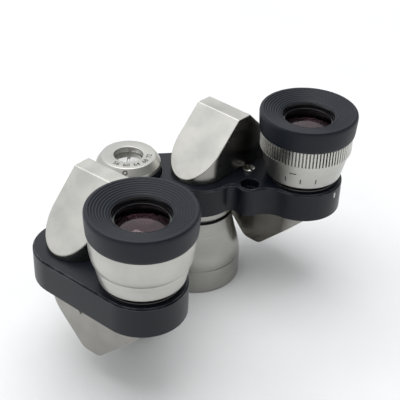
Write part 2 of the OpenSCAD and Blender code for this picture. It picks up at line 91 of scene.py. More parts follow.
class Shader:
    """One Principled material, built node by node. Lengths in its patterns are millimetres."""

    def __init__(self, name, **sockets):
        self.material = bpy.data.materials.new(name)
        self.material.use_nodes = True
        self.tree = self.material.node_tree
        self.bsdf = self.tree.nodes["Principled BSDF"]
        for socket, value in sockets.items():
            self.bsdf.inputs[socket.replace("_", " ")].default_value = value
        place = self.tree.nodes.new("ShaderNodeTexCoord")
        self.place = self.vector_math("MULTIPLY", place.outputs["Object"], (1 / MM,) * 3)
        self.normal = place.outputs["Normal"]

    def put(self, socket, value):
        """Links an output to an input, or sets the input to a plain value."""
        if isinstance(value, bpy.types.NodeSocket):
            self.tree.links.new(value, socket)
        else:
            socket.default_value = value

    def node(self, kind, **settings):
        made = self.tree.nodes.new(kind)
        for key, value in settings.items():
            setattr(made, key, value)
        return made

    def vector_math(self, operation, a, b=(0, 0, 0)):
        made = self.node("ShaderNodeVectorMath", operation=operation)
        self.put(made.inputs[0], a)
        self.put(made.inputs[1], b)
        return made.outputs["Value"] if operation in ("LENGTH", "DOT_PRODUCT") else made.outputs[0]

    def math(self, operation, a, b=0.0):
        made = self.node("ShaderNodeMath", operation=operation)
        self.put(made.inputs[0], a)
        self.put(made.inputs[1], b)
        return made.outputs[0]

    def split(self, vector):
        made = self.node("ShaderNodeSeparateXYZ")
        self.put(made.inputs[0], vector)
        return made.outputs

    def join(self, x=0.0, y=0.0, z=0.0):
        made = self.node("ShaderNodeCombineXYZ")
        for socket, value in zip(made.inputs, (x, y, z)):
            self.put(socket, value)
        return made.outputs[0]

    def noise(self, size, detail=2.0, vector=None, stretch=(1, 1, 1)):
        """Cloudy noise whose features are about that many millimetres wide."""
        where = self.vector_math("MULTIPLY", vector or self.place, [s / size for s in stretch])
        made = self.node("ShaderNodeTexNoise")
        self.put(made.inputs["Vector"], where)
        made.inputs["Scale"].default_value = 1.0
        made.inputs["Detail"].default_value = detail
        return made.outputs["Fac"]

    def fit(self, value, low, high, to_low=0.0, to_high=1.0):
        made = self.node("ShaderNodeMapRange")
        for socket, number in zip(made.inputs, (value, low, high, to_low, to_high)):
            self.put(socket, number)
        return made.outputs[0]

    def blend(self, factor, a, b):
        """Colour a where the factor is 0, and b where it is 1."""
        made = self.node("ShaderNodeMix", data_type="RGBA")
        self.put(made.inputs[0], factor)
        for socket, value in zip(made.inputs[6:8], (a, b)):
            self.put(socket, value if isinstance(value, bpy.types.NodeSocket) else (*value, 1))
        return made.outputs[2]

    def bump(self, height, depth, under=None):
        """A bump of that depth in millimetres where the height goes from 0 to 1."""
        made = self.node("ShaderNodeBump")
        made.inputs["Distance"].default_value = depth * MM
        self.put(made.inputs["Height"], height)
        if under:
            self.put(made.inputs["Normal"], under)
        return made.outputs[0]

    def edges(self, reach):
        """1 along sharp edges, within about that many millimetres, and 0 on plain faces."""
        soft = self.node("ShaderNodeBevel", samples=4)
        soft.inputs["Radius"].default_value = reach * MM
        plain = self.node("ShaderNodeNewGeometry")
        match = self.vector_math("DOT_PRODUCT", soft.outputs[0], plain.outputs["Normal"])
        return self.fit(match, 0.98, 0.86)

    def from_axis(self, centre):
        """Position as (distance from an upright axis, 0, height), for turned marks."""
        shifted = self.vector_math("SUBTRACT", self.place, (centre.x, centre.y, 0))
        x, y, z = self.split(shifted)
        radius = self.vector_math("LENGTH", self.join(x, y))
        return self.join(radius, 0.0, z)

    def finish(self, **sockets):
        for socket, value in sockets.items():
            self.put(self.bsdf.inputs[socket.replace("_", " ")], value)
        return self.material


# ---------- materials ----------

SILVER_LIGHT = (0.56, 0.55, 0.515)
SILVER_DARK = (0.46, 0.455, 0.43)


def housing_silver():
    """Blasted satin plating on the sloping faces and buffed upright walls; the walls' colour is painted
    darker as painted shade, and sharp edges are painted lighter as painted highlights.
    """
    s = Shader("housing_silver", Metallic=1.0)
    clouds = s.noise(6, 4)
    stains = s.fit(s.noise(1.7, 5), 0.56, 0.72)
    grain = s.noise(0.16, 2)
    lean = s.math("ABSOLUTE", s.split(s.normal)[2])
    blasted = s.fit(lean, 0.15, 0.5)
    tone = s.blend(s.fit(clouds, 0.35, 0.65), SILVER_DARK, SILVER_LIGHT)
    tone = s.blend(s.math("MULTIPLY", stains, 0.18), tone, (0.38, 0.36, 0.29))
    # Upright walls get a darker colour: painted shade standing in for the dark surroundings they reflect.
    shaded_wall_tone = s.blend(s.fit(clouds, 0.3, 0.7), (0.26, 0.252, 0.232), (0.33, 0.32, 0.30))
    tone = s.blend(blasted, shaded_wall_tone, tone)
    # Sharp edges painted lighter: a painted highlight along the edges.
    tone = s.blend(s.math("MULTIPLY", s.edges(0.25), 0.6), tone, (0.85, 0.84, 0.80))
    rough = s.fit(clouds, 0.3, 0.7, 0.36, 0.46)
    wall_rough = s.fit(clouds, 0.3, 0.7, 0.20, 0.28)
    spread = s.math("MULTIPLY", blasted, s.math("SUBTRACT", rough, wall_rough))
    relief = s.math("MULTIPLY", grain, s.fit(blasted, 0, 1, 0.15, 1.0))
    return s.finish(Base_Color=tone, Roughness=s.math("ADD", wall_rough, spread),
                    Normal=s.bump(relief, 0.007))


def turned_silver(name, centre, rough=(0.30, 0.38), line=0.12, groove_r=0, shade=1.0):
    """Satin plating over fine turning marks round an upright axis, with painted shade in the grooves below
    groove_r; a shade below 1 darkens the whole colour as painted shade.
    """
    s = Shader(name, Metallic=1.0)
    light = tuple(c * shade for c in SILVER_LIGHT)
    dark = tuple(c * shade for c in SILVER_DARK)
    clouds = s.noise(9, 3)
    polar = s.from_axis(centre)
    lines = s.noise(line, 2, polar)
    grain = s.noise(0.14, 2)
    tone = s.blend(s.fit(clouds, 0.3, 0.7), dark, light)
    tone = s.blend(s.math("MULTIPLY", s.fit(lines, 0.5, 0.8), 0.25), tone, dark)
    if groove_r:
        # Painted shade in the grooves: darker below groove_r, towards the axis.
        groove_shade = s.fit(s.split(polar)[0], groove_r, groove_r - 0.25, 0, 0.85)
        tone = s.blend(groove_shade, tone, (0.06, 0.058, 0.052))
    # Sharp edges painted lighter: a painted highlight along the edges.
    tone = s.blend(s.math("MULTIPLY", s.edges(0.2), 0.5), tone, (0.85, 0.84, 0.81))
    relief = s.bump(lines, 0.003)
    return s.finish(Base_Color=tone, Roughness=s.fit(lines, 0.3, 0.7, *rough),
                    Normal=s.bump(grain, 0.003, relief))


def black_enamel(top):
    """Stoved semi-matt enamel with a faint orange peel, with wear and a painted highlight along its top
    edges.
    """
    s = Shader("black_enamel", IOR=1.38)
    clouds = s.noise(7, 4)
    peel = s.noise(0.35, 3)
    dust = s.fit(s.noise(0.22, 3), 0.68, 0.78)
    tone = s.blend(s.fit(clouds, 0.3, 0.7), (0.003, 0.0045, 0.009), (0.006, 0.008, 0.014))
    tone = s.blend(s.math("MULTIPLY", dust, 0.16), tone, (0.09, 0.09, 0.09))
    # Wear and painted highlight along the top edges: lighter and metallic within 0.6 mm of the plate top.
    high = s.fit(s.split(s.place)[2], top - 0.6, top - 0.2, 0.25, 1.0)
    worn = s.math("MULTIPLY", s.edges(0.25), s.fit(s.noise(2.2, 4), 0.35, 0.65))
    worn = s.math("MULTIPLY", worn, high)
    tone = s.blend(s.math("MULTIPLY", worn, 0.8), tone, (0.30, 0.31, 0.33))
    return s.finish(Base_Color=tone, Metallic=s.math("MULTIPLY", worn, 0.7),
                    Roughness=s.fit(clouds, 0.3, 0.7, 0.32, 0.42), Normal=s.bump(peel, 0.010))


def eyecup_black(side):
    """Moulded black plastic with fine turned rings and a trace of dust."""
    s = Shader(f"eyecup_black_{side}", IOR=1.38)
    clouds = s.noise(6, 4)
    grain = s.noise(0.12, 3)
    lines = s.noise(0.18, 2, s.from_axis(EYE[side]))
    dust = s.fit(s.noise(0.3, 4), 0.66, 0.76)
    tone = s.blend(s.fit(clouds, 0.3, 0.7), (0.003, 0.005, 0.010), (0.006, 0.009, 0.017))
    tone = s.blend(s.math("MULTIPLY", dust, 0.2), tone, (0.09, 0.10, 0.11))
    worn = s.math("MULTIPLY", s.edges(0.2), s.fit(s.noise(1.2, 4), 0.3, 0.7))
    tone = s.blend(s.math("MULTIPLY", worn, 0.3), tone, (0.09, 0.095, 0.105))
    relief = s.bump(lines, 0.004)
    return s.finish(Base_Color=tone, Roughness=s.fit(clouds, 0.3, 0.7, 0.42, 0.52),
                    Normal=s.bump(grain, 0.006, relief))


def gloss_black():
    """Black anodising inside the eyepieces and barrels."""
    s = Shader("gloss_black", IOR=1.6)
    clouds = s.noise(3, 3)
    lines = s.noise(0.3, 1, stretch=(0, 0, 1))
    tone = s.blend(s.fit(clouds, 0.3, 0.7), (0.006, 0.006, 0.007), (0.012, 0.011, 0.013))
    return s.finish(Base_Color=tone, Roughness=s.fit(clouds, 0.3, 0.7, 0.10, 0.18),
                    Normal=s.bump(lines, 0.003))


def bright_metal(name, tone=(0.78, 0.78, 0.76), rough=(0.07, 0.18)):
    """Polished plating with smudges and hairline scratches."""
    s = Shader(name, Metallic=1.0)
    smudge = s.noise(1.4, 4)
    hair = s.noise(0.06, 2, stretch=(1, 0.06, 1))
    dull = tuple(c * 0.8 for c in tone)
    return s.finish(Base_Color=s.blend(s.fit(smudge, 0.35, 0.65), dull, tone),
                    Roughness=s.fit(smudge, 0.3, 0.7, *rough), Normal=s.bump(hair, 0.0015))


def spring_brass():
    """Rolled brass, a little tarnished."""
    s = Shader("spring_brass", Metallic=1.0)
    clouds = s.noise(2.5, 4)
    grain = s.noise(0.1, 2, stretch=(0.1, 1, 1))
    tone = s.blend(s.fit(clouds, 0.3, 0.7), (0.50, 0.37, 0.17), (0.68, 0.53, 0.27))
    return s.finish(Base_Color=tone, Roughness=s.fit(clouds, 0.3, 0.7, 0.24, 0.36),
                    Normal=s.bump(grain, 0.003))


def steel():
    """Ground steel with marks round its length."""
    s = Shader("ground_steel", Metallic=1.0)
    clouds = s.noise(2.5, 4)
    grain = s.noise(0.08, 2, stretch=(0.15, 0.15, 1))
    tone = s.blend(s.fit(clouds, 0.3, 0.7), (0.42, 0.42, 0.42), (0.56, 0.56, 0.55))
    return s.finish(Base_Color=tone, Roughness=s.fit(clouds, 0.3, 0.7, 0.22, 0.34),
                    Normal=s.bump(grain, 0.003))


def coated_glass():
    """Lens glass with a purple-brown coating and a few specks of dust."""
    s = Shader("coated_glass", IOR=1.6, Transmission_Weight=1.0)
    s.bsdf.inputs["Specular Tint"].default_value = (1.0, 0.74, 0.80, 1)
    specks = s.fit(s.noise(0.5, 3), 0.80, 0.86)
    tone = s.blend(specks, (0.15, 0.095, 0.11), (0.20, 0.18, 0.18))
    return s.finish(Base_Color=tone, Roughness=s.fit(specks, 0, 1, 0.0, 0.10))


def prism_glass():
    s = Shader("prism_glass", IOR=1.52, Transmission_Weight=1.0)
    specks = s.fit(s.noise(0.6, 4), 0.70, 0.78)
    tone = s.blend(specks, (0.93, 0.96, 0.95), (0.8, 0.82, 0.8))
    return s.finish(Base_Color=tone, Roughness=s.fit(specks, 0, 1, 0.0, 0.1))


def paint(name, dark, light):
    """Filling paint in an engraved mark."""
    s = Shader(name)
    clouds = s.noise(0.3, 3)
    return s.finish(Base_Color=s.blend(clouds, dark, light), Roughness=s.fit(clouds, 0, 1, 0.45, 0.7),
                    Normal=s.bump(clouds, 0.004))


HOUSING = housing_silver()
ENAMEL = black_enamel(heights("right_body_plate")[1])
GLOSS_BLACK = gloss_black()
POLISHED = bright_metal("polished_metal")
BRASS = spring_brass()
STEEL = steel()
LENS = coated_glass()
PRISM = prism_glass()
BLACK_PAINT = paint("black_paint", (0.008, 0.008, 0.008), (0.02, 0.02, 0.02))
WHITE_PAINT = paint("white_paint", (0.62, 0.62, 0.60), (0.8, 0.8, 0.78))
CUP_BLACK = {side: eyecup_black(side) for side in SIDES}
EYEPIECE_SILVER = {side: turned_silver(f"eyepiece_silver_{side}", EYE[side]) for side in SIDES}
RIB_SILVER = turned_silver("ribbed_silver", EYE["right"], rough=(0.24, 0.32),
                           groove_r=radius_of("right_dioptre_ring") - 0.05)
# Barrels and collars get a darker copy of the silver (shade 0.72): painted shade.
BARREL_SILVER = {side: turned_silver(f"barrel_silver_{side}", OBJECTIVE[side], rough=(0.26, 0.36),
                                     shade=0.72) for side in SIDES}
HINGE_SILVER = turned_silver("hinge_silver", HINGE, rough=(0.34, 0.44))


# ---------- mesh building ----------


def add_piece(name, verts, faces, material, body, slot):
    """A mesh piece from millimetre vertices, smooth but for its sharp edges."""
    mesh = bpy.data.meshes.new(name)
    mesh.from_pydata([Vector(v) * MM for v in verts], [], faces)
    work = bmesh.new()
    work.from_mesh(mesh)
    bmesh.ops.remove_doubles(work, verts=work.verts, dist=0.0005 * MM)
    bmesh.ops.recalc_face_normals(work, faces=work.faces)
    work.to_mesh(mesh)
    work.free()
    mesh.shade_smooth()
    mesh.set_sharp_from_angle(angle=SHARP_ANGLE)
    mesh.materials.append(material)
    piece = bpy.data.objects.new(name, mesh)
    bpy.context.scene.collection.objects.link(piece)
    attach(piece, body)
    return piece


def rounded(corners, steps=4):
    """A profile from [radius, height, cut] corners, each rounded off over its cut."""
    points = []
    for i, (r, z, cut) in enumerate(corners):
        here = Vector((r, z))
        if not cut:
            points.append(here)
            continue
        back = (Vector(corners[i - 1][:2]) - here).normalized() * cut + here
        on = (Vector(corners[(i + 1) % len(corners)][:2]) - here).normalized() * cut + here
        for k in range(steps + 1):
            t = k / steps
            points.append(back * (1 - t) ** 2 + here * 2 * t * (1 - t) + on * t * t)
    return points


def revolve(profile, centre, steps=RING_STEPS, wave=None):
    """Vertices and faces of a closed profile turned round an upright axis."""
    verts, faces = [], []
    count = len(profile)
    for i in range(steps):
        angle = 2 * math.pi * i / steps
        for p in profile:
            r = wave(p.x, p.y, angle) if wave else p.x
            verts.append((centre.x + r * math.cos(angle), centre.y + r * math.sin(angle), p.y))
        for j in range(count):
            k = (j + 1) % count
            after = (i + 1) % steps
            faces.append((i * count + j, i * count + k, after * count + k, after * count + j))
    return verts, faces


def lathe(name, corners, centre, material, body, slot, **how):
    return add_piece(name, *revolve(rounded(corners), centre, **how), material, body, slot)


def facing(points, origin, normal, up):
    """Puts flat drawings (x right, y up, z out) on a surface at origin with that normal."""
    out = Vector(normal).normalized()
    across = Vector(up).cross(out).normalized()
    rise = out.cross(across)
    return [Vector(origin) + across * p[0] + rise * p[1] + out * p[2] for p in points]


def turned_stud(profile, origin, normal, steps=48):
    """Vertices and faces of a closed profile turned round an axis that points along normal."""
    verts, faces = revolve(profile, Vector((0, 0)), steps)
    return facing(verts, origin, normal, Vector((0.1, 0.2, 1))), faces


def wrapped_mark(name, centre, angles, z_range, radius_at, material, body, slot, lift=0.015):
    """A painted mark that lies round an upright surface of revolution."""
    verts, faces = [], []
    spans, rows = 8, 3
    for depth in (lift, -0.08):
        for i in range(spans + 1):
            angle = math.radians(angles[0] + (angles[1] - angles[0]) * i / spans)
            for j in range(rows + 1):
                z = z_range[0] + (z_range[1] - z_range[0]) * j / rows
                r = radius_at(z) + depth
                verts.append((centre.x + r * math.cos(angle), centre.y + r * math.sin(angle), z))
    across = rows + 1
    inner = (spans + 1) * across
    for i in range(spans):
        for j in range(rows):
            a = i * across + j
            faces.append((a, a + across, a + across + 1, a + 1))
            faces.append((inner + a, inner + a + 1, inner + a + across + 1, inner + a + across))
        for j in (0, rows):
            a = i * across + j
            faces.append((a, inner + a, inner + a + across, a + across))
    for i in (0, spans):
        for j in range(rows):
            a = i * across + j
            faces.append((a, a + 1, inner + a + 1, inner + a))
    return add_piece(name, verts, faces, material, body, slot)


def slotted_head(centre, z_range, r, slot, angle, edge):
    """Vertices and faces of a screw head whose slot (width, depth) is cut across it."""
    z0, z1 = z_range
    floor_z = z1 - slot[1]
    verts, faces = revolve(rounded([[r, z0, 0], [r, floor_z, 0], [0.01, floor_z, 0], [0.01, z0, 0]]),
                           centre, 64)
    side_cut = slot[0] / 2
    for turn in (angle, angle + math.pi):
        levels = []
        for z, inset in ((floor_z, 0), (z1 - edge, 0), (z1 - edge * 0.3, edge * 0.3), (z1, edge)):
            ring_r, cut = r - inset, side_cut + inset * 0.4
            start = math.asin(cut / ring_r)
            ring = []
            for k in range(33):
                a = start + (math.pi - 2 * start) * k / 32
                x, y = ring_r * math.cos(a), ring_r * math.sin(a)
                ring.append((centre.x + x * math.cos(turn) - y * math.sin(turn),
                             centre.y + x * math.sin(turn) + y * math.cos(turn), z))
            levels.append(ring)
        base = len(verts)
        count = len(levels[0])
        for ring in levels:
            verts.extend(ring)
        faces.append(tuple(base + k for k in reversed(range(count))))
        faces.append(tuple(base + 3 * count + k for k in range(count)))
        for level in range(3):
            for k in range(count):
                a, b = base + level * count + k, base + level * count + (k + 1) % count
                faces.append((a, b, b + count, a + count))
    return verts, faces


def raised_text(name, words, size, origin, normal, up, material, body, slot):
    """Short generic lettering as a thin solid, centred on a point of a flat surface."""
    curve = bpy.data.curves.new(name, "FONT")
    curve.body = words
    curve.size = size
    curve.align_x = "CENTER"
    curve.align_y = "CENTER"
    curve.extrude = 0.015
    curve.offset = 0.012
    drawn = bpy.data.objects.new(name + "_outline", curve)
    bpy.context.scene.collection.objects.link(drawn)
    bpy.context.view_layer.update()
    flat = bpy.data.meshes.new_from_object(drawn)
    verts = facing([v.co for v in flat.vertices], origin, normal, up)
    faces = [tuple(f.vertices) for f in flat.polygons]
    bpy.data.objects.remove(drawn)
    bpy.data.meshes.remove(flat)
    return add_piece(name, verts, faces, material, body, slot)


def cad_finish(node, material, edge=0.12):
    """Shows a CAD node with a better material and softened edges."""
    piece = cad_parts[node]
    piece.data.materials.clear()
    piece.data.materials.append(material)
    if edge:
        weld = piece.modifiers.new("weld", "WELD")
        weld.merge_threshold = 0.002 * MM
        flatten = piece.modifiers.new("flatten", "DECIMATE")
        flatten.decimate_type = "DISSOLVE"
        flatten.angle_limit = math.radians(0.4)
        bevel = piece.modifiers.new("bevel", "BEVEL")
        bevel.width = edge * MM
        bevel.segments = 3
        bevel.limit_method = "ANGLE"
        bevel.angle_limit = math.radians(32)
        bevel.use_clamp_overlap = True
        shade = piece.modifiers.new("shade", "WEIGHTED_NORMAL")
        shade.weight = 60


# ---------- eyecups ----------

DISH_R = 10.9
DISH_DEPTH = 1.25
BORE_R = 6.34
GROOVES = 7
GROOVE_DEPTH = 0.13
SEAT_Z = 45.6


def eyecup(side):
    """A dished black cup with turned rings on its face, flaring a little from foot to rim."""
    bottom, top = heights(f"{side}_eyecup")
    outer = radius_of(f"{side}_eyecup")
    lip = BORE_R + 0.4
    dish = []
    for i in range(GROOVES):
        for part, sunk in ((0.15, 0), (0.4, 1), (0.6, 1), (0.85, 0)):
            t = (i + part) / GROOVES
            dish.append([DISH_R + (lip - DISH_R) * t, top - DISH_DEPTH * t - sunk * GROOVE_DEPTH, 0.06])
    corners = [
        [outer - 0.65, bottom, 0.1], [outer - 0.24, bottom + 0.5, 0.3], [outer - 0.05, bottom + 2.8, 1.0],
        [outer + 0.06, top - 0.75, 0.35], [outer - 0.12, top - 0.2, 0.2], [outer - 0.45, top, 0.2],
        [DISH_R, top, 0.1], *dish,
        [lip, top - DISH_DEPTH - 0.02, 0.15], [BORE_R + 0.05, top - DISH_DEPTH - 0.35, 0.12],
        [BORE_R + 0.05, SEAT_Z, 0.1], [6.9, SEAT_Z, 0.05], [6.9, bottom, 0.1],
    ]
    piece = lathe(f"{side}_cup", corners, EYE[side], CUP_BLACK[side], EYEPIECE_BODY[side], "eyecup_black")
    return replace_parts(piece, f"{side}_eyecup")


def bore_liner(side):
    """The glossy funnel between the dish and the lens cell."""
    top = heights(f"{side}_eyecup")[1] - DISH_DEPTH - 0.3
    corners = [
        [BORE_R + 0.1, SEAT_Z, 0], [BORE_R + 0.1, top, 0], [BORE_R, top + 0.02, 0.03],
        [6.12, SEAT_Z + 0.35, 0.05], [6.08, SEAT_Z, 0.03],
    ]
    lathe(f"{side}_bore_liner", corners, EYE[side], GLOSS_BLACK, EYEPIECE_BODY[side], "black_anodised")


def eye_lens(side):
    """The eye lens, with evenly curved faces."""
    node = f"{side}_eye_lens"
    bottom, top = heights(node)
    outer = radius_of(node)
    rise_up, rise_down = 0.9, 0.5
    steps = 20
    upper = [[outer * (1 - i / steps), top - rise_up * (1 - i / steps) ** 2, 0] for i in range(steps)]
    lower = [[outer * i / steps, bottom + rise_down * (i / steps) ** 2, 0] for i in range(1, steps + 1)]
    corners = [*upper, [0.01, top, 0], [0.01, bottom, 0], *lower]
    piece = lathe(f"{side}_eye_glass", corners, EYE[side], LENS,
                  {"left": "left_half", "right": "dioptre_cell"}[side], "coated_glass", steps=128)
    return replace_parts(piece, node)


for side in SIDES:
    eyecup(side)
    bore_liner(side)
    eye_lens(side)


# ---------- eyepiece rings and skirts ----------

RIBS = 86
RIB_DEPTH = 0.38
TUBE_CLEAR_R = 7.65
SKIRT_FOOT_R = 9.3


def ribbed_ring():
    """The knurled dioptre ring of the right eyepiece."""
    node = "right_dioptre_ring"
    bottom, top = heights(node)
    outer = radius_of(node)

    def wave(r, z, angle):
        if r < outer - 0.7:
            return r
        place = (angle * RIBS / (2 * math.pi)) % 1
        rise = min(1, max(0, (abs(place - 0.5) - 0.13) / 0.09))
        return r - RIB_DEPTH * (1 - rise * rise * (3 - 2 * rise))

    corners = [
        [outer - 0.05, bottom + 0.12, 0.08], [outer, bottom + 0.6, 0.1], [outer, top, 0.05],
        [TUBE_CLEAR_R, top, 0.05], [TUBE_CLEAR_R, bottom, 0.05], [outer - 0.42, bottom, 0.05],
    ]
    piece = lathe("right_ribbed_ring", corners, EYE["right"], RIB_SILVER,
                  "dioptre_ring", "satin_nickel", steps=RIBS * 12, wave=wave)
    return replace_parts(piece, node)


def plain_ring():
    """The smooth ring of the left eyepiece, which tapers down to its skirt."""
    node = "left_eyepiece_ring"
    bottom, top = heights(node)
    outer = radius_of(node)
    corners = [
        [outer - 1.0, bottom, 0.01], [outer - 0.5, bottom + 1.0, 0.7],
        [outer - 0.15, bottom + 2.6, 0.8], [outer - 0.04, top - 2.2, 0.5], [outer, top, 0.05],
        [TUBE_CLEAR_R, top, 0.05], [TUBE_CLEAR_R, bottom, 0.05], [outer - 1.2, bottom, 0.05],
    ]
    piece = lathe("left_plain_ring", corners, EYE["left"], EYEPIECE_SILVER["left"],
                  "left_half", "satin_nickel")
    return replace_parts(piece, node)


def skirt(side):
    """The tapered skirt below a ring, with a turned foot and a fine line near its top."""
    node = f"{side}_eyepiece_skirt"
    bottom, top = heights(node)
    outer = radius_of(node) + {"left": 0.14, "right": 0.0}[side]
    foot_z = bottom + 0.5
    slope = (outer - SKIRT_FOOT_R) / (top - foot_z)
    line_z = bottom + 0.68 * (top - bottom)

    def radius_at(z):
        return SKIRT_FOOT_R + slope * (z - foot_z)

    corners = [
        [SKIRT_FOOT_R - 0.45, bottom, 0.1], [SKIRT_FOOT_R, foot_z, 0.15],
        [radius_at(line_z - 0.1), line_z - 0.1, 0.03], [radius_at(line_z) - 0.03, line_z, 0.03],
        [radius_at(line_z + 0.1), line_z + 0.1, 0.03], [outer, top, 0.05],
        [TUBE_CLEAR_R, top, 0.05], [TUBE_CLEAR_R, bottom, 0.05],
    ]
    piece = lathe(f"{side}_skirt", corners, EYE[side], EYEPIECE_SILVER[side],
                  EYEPIECE_BODY[side], "satin_nickel")
    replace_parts(piece, node)
    return radius_at


TICK_FIRST = -170.95
TICK_STEP = 21.73
TICK_WIDTH = 1.6
MINUS_ANGLES = (-164.9, -155.7)


def dioptre_marks(radius_at):
    """The scale round the right skirt: a minus sign and three ticks, filled with black."""
    bottom = heights("right_eyepiece_skirt")[0]
    for i in range(3):
        middle = TICK_FIRST + TICK_STEP * i
        wrapped_mark(f"dioptre_tick_{i}", EYE["right"], (middle - TICK_WIDTH / 2, middle + TICK_WIDTH / 2),
                     (bottom + 1.9, bottom + 3.3), radius_at, BLACK_PAINT, "dioptre_ring", "eyecup_black")
    wrapped_mark("dioptre_minus", EYE["right"], MINUS_ANGLES, (bottom + 4.6, bottom + 4.9),
                 radius_at, BLACK_PAINT, "dioptre_ring", "eyecup_black")


def plate_index():
    """The white index line on the right plate, which the ticks are read against."""
    end_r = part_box("right_body_plate")[1].x / MM - EYE["right"].x
    top = heights("right_body_plate")[1]
    wrapped_mark("white_index", EYE["right"], (-96.2, -93.8), (top - 1.75, top - 0.5),
                 lambda z: end_r, WHITE_PAINT, "right_half", "bright_screw")


ribbed_ring()
plain_ring()
skirt("left")
dioptre_marks(skirt("right"))
plate_index()


# ---------- objective barrels ----------

NECK_R = 9.0
RIM_H = 6.7
BELL_SKEW = 0.85
BARREL_BORE_R = 8.45
LENS_SEAT_R = 8.27


def barrel(side):
    """A bell-shaped barrel with a stepped rim band and a hollow mouth."""
    node = f"{side}_objective_barrel"
    bottom, top = heights(node)
    rim = radius_of(node)
    bell = rim - 0.15
    foot = RIM_H + 0.4
    side_wall = []
    for i in range(1, 24):
        t = i / 24
        r = NECK_R + (bell - NECK_R) * (1 + math.cos(math.pi * t ** BELL_SKEW)) / 2
        side_wall.append([r, foot + (top - foot) * t, 0])
    corners = [
        [rim - 0.25, bottom, 0.12], [rim, bottom + 0.35, 0.15], [rim, RIM_H - 0.15, 0.04],
        [bell - 0.08, RIM_H + 0.08, 0.04], *side_wall, [NECK_R, top, 0.12],
        [BARREL_BORE_R, top, 0.06], [BARREL_BORE_R, 8, 0.05], [7.5, 8, 0.05], [7.5, 7.2, 0.05],
        [LENS_SEAT_R, 7.2, 0.05], [LENS_SEAT_R, 2.4, 0.1], [10.5, bottom, 0.1],
    ]
    piece = lathe(f"{side}_barrel", corners, OBJECTIVE[side], BARREL_SILVER[side],
                  FOCUS_BODY[side], "satin_nickel")
    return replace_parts(piece, node)


def collar(side):
    """The fixed collar under the body plate that the barrel slides up to."""
    node = f"{side}_objective_collar"
    bottom, top = heights(node)
    outer = radius_of(node)
    corners = [
        [outer - 0.02, bottom, 0.15], [outer, bottom + 0.6, 0.2], [outer - 0.02, top, 0.05],
        [8.42, top, 0.05], [8.42, bottom, 0.05],
    ]
    piece = lathe(f"{side}_collar", corners, OBJECTIVE[side], BARREL_SILVER[side],
                  HALF_BODY[side], "satin_nickel")
    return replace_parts(piece, node)


for side in SIDES:
    barrel(side)
    collar(side)


# ---------- hinge cap and focus wheel ----------

CAP_TOP_R = 6.7
CAP_BORE_R = 3.55
WHEEL_RIBS = 48
WHEEL_RIB_DEPTH = 0.45


def hinge_cap():
    node = "hinge_cap"
    bottom, top = heights(node)
    foot = radius_of(node)
    corners = [
        [foot, bottom, 0.1], [foot, bottom + 0.25, 0.1], [foot - 0.08, bottom + 1.05, 0.15],
        [CAP_TOP_R, top, 0.18], [CAP_BORE_R + 0.12, top, 0.1], [CAP_BORE_R, top - 0.2, 0.05],
        [CAP_BORE_R, bottom + 0.7, 0.05], [1.95, bottom + 0.7, 0.05], [1.95, bottom, 0.05],
    ]
    piece = lathe("hinge_cap_disc", corners, HINGE, HINGE_SILVER, "left_half", "satin_nickel")
    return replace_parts(piece, node)


def focus_wheel():
    """The knurled wheel and its long neck, with a groove round the middle of the grip."""
    node = "focus_wheel"
    bottom, top = heights(node)
    outer = radius_of(node)
    grip = 14.6
    middle = (grip + top) / 2

    def wave(r, z, angle):
        if r < outer - 0.35 or abs(z - middle) < 0.45:
            return r
        place = (angle * WHEEL_RIBS / (2 * math.pi)) % 1
        rise = min(1, max(0, (abs(place - 0.5) - 0.12) / 0.16))
        return r - WHEEL_RIB_DEPTH * (1 - rise * rise * (3 - 2 * rise))

    corners = [
        [outer - 0.3, grip, 0.15], [outer, grip + 0.35, 0.15], [outer, middle - 0.4, 0.05],
        [outer - 0.45, middle - 0.3, 0.05], [outer - 0.45, middle + 0.3, 0.05],
        [outer, middle + 0.4, 0.05], [outer, top - 0.35, 0.15], [outer - 0.3, top, 0.15],
        [1.95, top, 0.05], [1.95, bottom, 0.05], [3.4, bottom, 0.1], [3.4, grip, 0.1],
    ]
    piece = lathe("focus_grip", corners, HINGE, GLOSS_BLACK, "focus_wheel", "black_anodised",
                  steps=WHEEL_RIBS * 10, wave=wave)
    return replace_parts(piece, node)


SCALE = ("56", "60", "64", "68", "72")
SCALE_ANGLES = (190, 304)
SCALE_R = 5.15
DIGIT_SIZE = 1.75
INDEX_ANGLE = math.radians(218)
VIEW_AZIMUTH = math.radians(40)


def hinge_scale():
    """Generic eye-spacing numbers round the cap's top, and a small ring to read them at."""
    bottom, top = heights("hinge_cap")
    foot = radius_of("hinge_cap")
    for i, words in enumerate(SCALE):
        angle = math.radians(SCALE_ANGLES[0] + (SCALE_ANGLES[1] - SCALE_ANGLES[0]) * i / (len(SCALE) - 1))
        out = Vector((math.cos(angle), math.sin(angle), 0))
        origin = Vector((HINGE.x, HINGE.y, top)) + out * SCALE_R
        raised_text(f"spacing_{words}", words, DIGIT_SIZE, origin, (0, 0, 1), -out,
                    BLACK_PAINT, "left_half", "eyecup_black")
    out = Vector((math.cos(INDEX_ANGLE), math.sin(INDEX_ANGLE), 0))
    along, height = (foot - 0.08, bottom + 1.05), (CAP_TOP_R, top)
    middle_r = (along[0] + height[0]) / 2
    middle_z = (along[1] + height[1]) / 2
    normal = out * (height[1] - along[1]) + Vector((0, 0, along[0] - height[0]))
    origin = Vector((HINGE.x, HINGE.y, 0)) + out * middle_r + Vector((0, 0, middle_z))
    profile = rounded([[0.36, -0.08, 0], [0.62, -0.08, 0], [0.62, 0.02, 0.01], [0.36, 0.02, 0.01]])
    verts, faces = turned_stud(profile, origin, normal)
    add_piece("spacing_index", verts, faces, BLACK_PAINT, "left_half", "eyecup_black")


